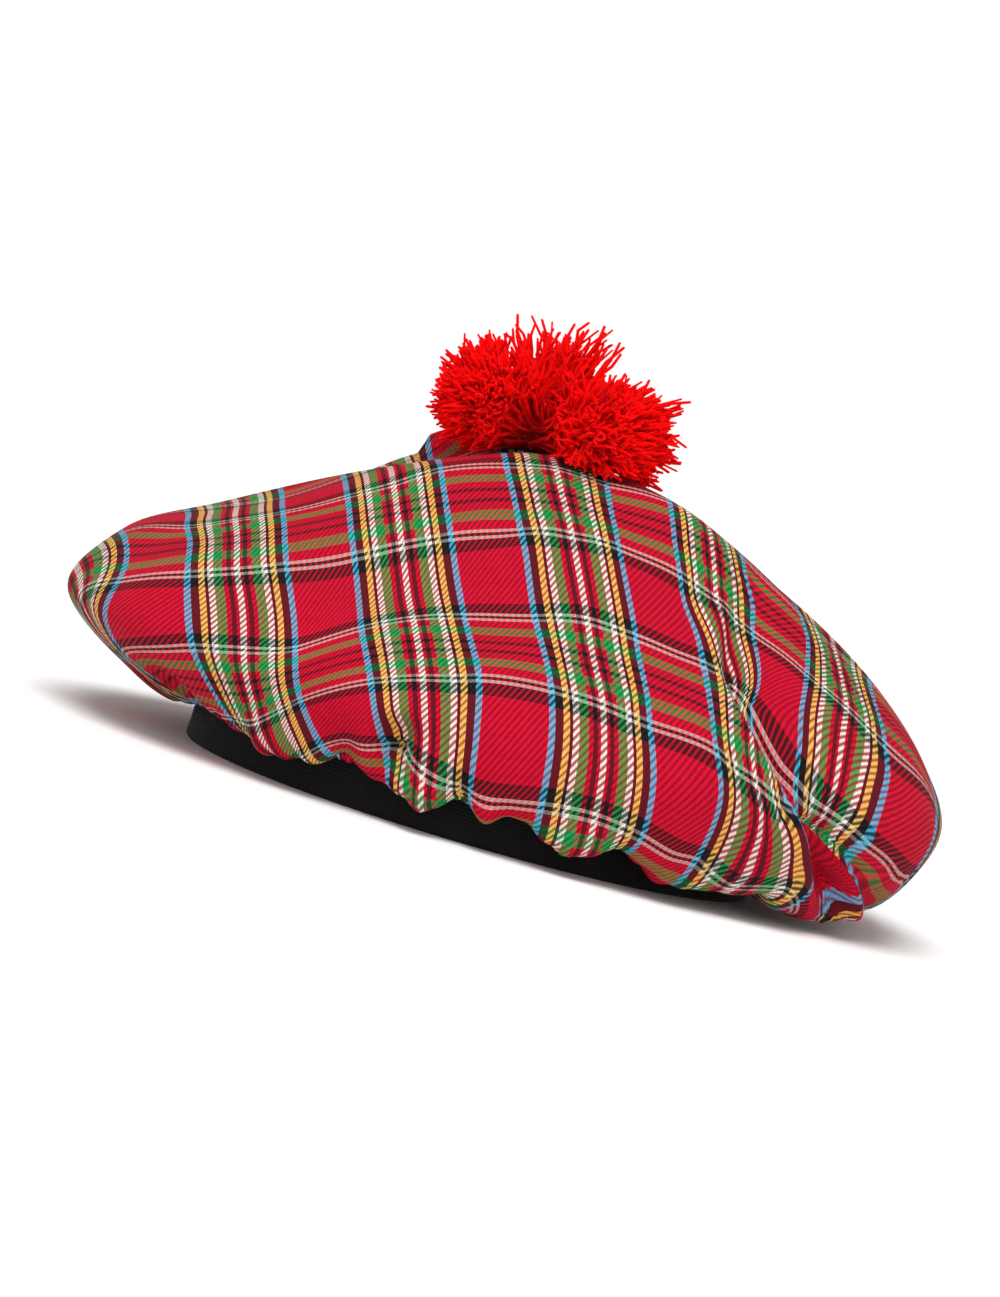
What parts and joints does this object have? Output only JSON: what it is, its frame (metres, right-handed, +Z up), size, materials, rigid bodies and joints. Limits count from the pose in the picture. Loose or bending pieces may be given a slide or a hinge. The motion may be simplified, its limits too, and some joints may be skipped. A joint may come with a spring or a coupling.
{
  "type": "tam o' shanter hat",
  "caption": "Soft round tartan tam o' shanter: a full crown of twill cloth gathered into a narrow black headband, with a large red yarn pompom on top.",
  "frame": {"origin": "middle of the hat's plan, on the surface it stands on: the flat underside of the headband is at z = 0", "axes": "+Z up through the pompom, +X to the viewer's right across the widest part of the crown, -Y to the front that the picture shows"},
  "size_m": [0.2884, 0.2374, 0.162],
  "materials": {
    "tartan_cloth": "woven two-and-two twill tartan: red ground with blue, black, yellow, white and green stripes",
    "band_knit": "matt black ribbed band",
    "red_yarn": "bright red cut yarn"
  },
  "bodies": {
    "root": {"crown": "tartan_cloth", "headband": "band_knit", "pompom": "red_yarn"}
  },
  "joints": []
}
